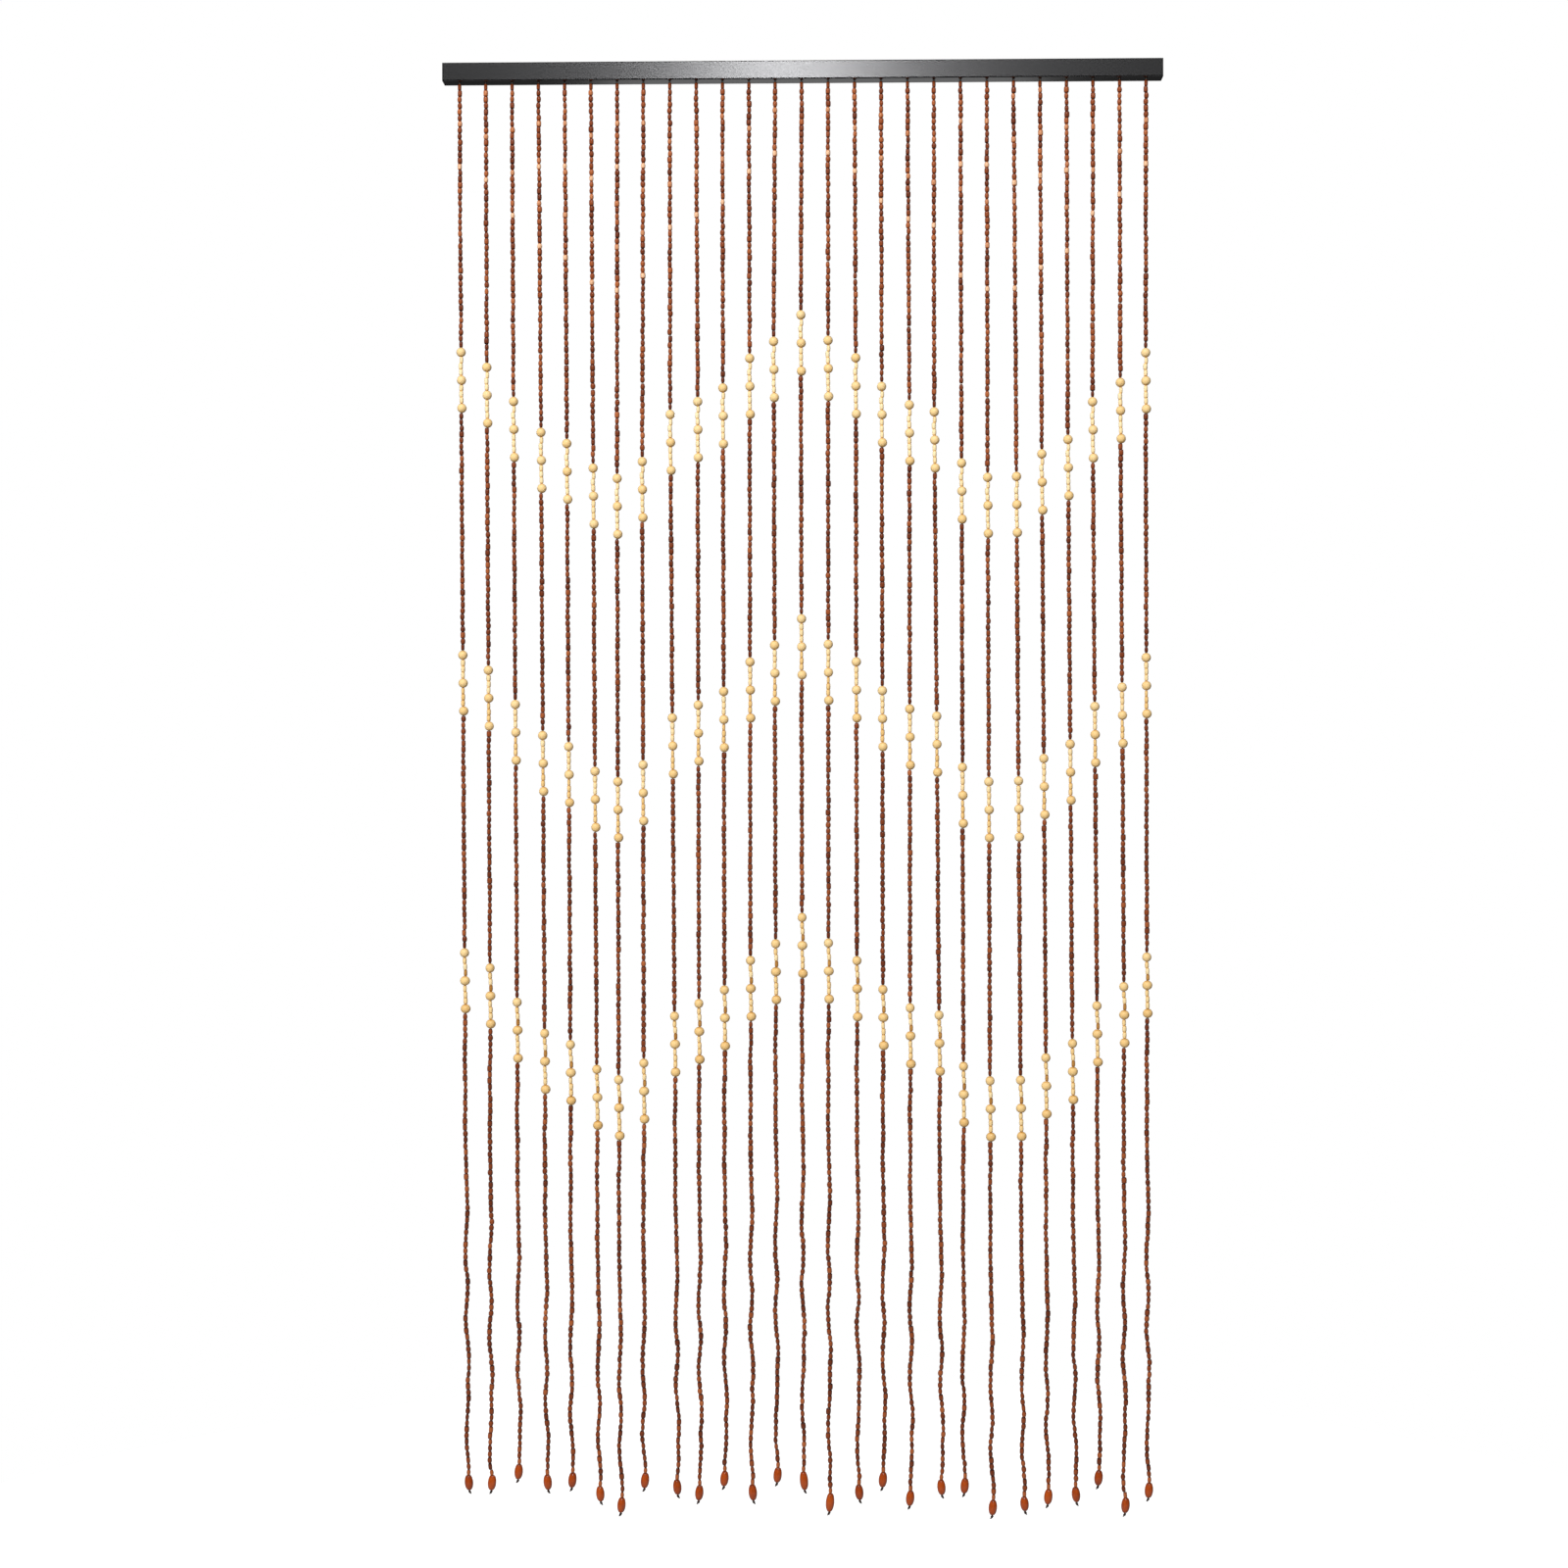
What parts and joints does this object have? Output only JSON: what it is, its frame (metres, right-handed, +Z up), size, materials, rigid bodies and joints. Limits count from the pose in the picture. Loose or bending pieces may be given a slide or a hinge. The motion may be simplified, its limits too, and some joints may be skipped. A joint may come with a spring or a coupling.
{
  "type": "bead curtain with aluminium rail",
  "caption": "Door curtain of hanging strands of brown wooden beads with groups of pale balls, strung on cords from a dark aluminium rail.",
  "frame": {"origin": "middle of the rail's flat top face, where it meets a lintel or a ceiling", "axes": "+X along the rail to the right as seen from the front, +Y to the back, +Z up; the front looks along -Y"},
  "size_m": [0.9, 0.022, 1.822],
  "materials": {
    "rail": "dark grey anodised, satin",
    "end_cap": "moulded, fine matt",
    "brown_wood": "stained and lacquered",
    "pale_wood": "natural, lacquered",
    "end_wood": "orange brown, glossy lacquer",
    "cord": "twisted waxed cord"
  },
  "bodies": {
    "root": {"rail": "rail", "end_cap_left": "end_cap", "end_cap_right": "end_cap", "strand_01": "brown_wood", "strand_02": "brown_wood", "strand_03": "brown_wood", "strand_04": "brown_wood", "strand_05": "brown_wood", "strand_06": "brown_wood", "strand_07": "brown_wood", "strand_08": "brown_wood", "strand_09": "brown_wood", "strand_10": "brown_wood", "strand_11": "brown_wood", "strand_12": "brown_wood", "strand_13": "brown_wood", "strand_14": "brown_wood", "strand_15": "brown_wood", "strand_16": "brown_wood", "strand_17": "brown_wood", "strand_18": "brown_wood", "strand_19": "brown_wood", "strand_20": "brown_wood", "strand_21": "brown_wood", "strand_22": "brown_wood", "strand_23": "brown_wood", "strand_24": "brown_wood", "strand_25": "brown_wood", "strand_26": "brown_wood", "strand_27": "brown_wood"}
  },
  "joints": []
}
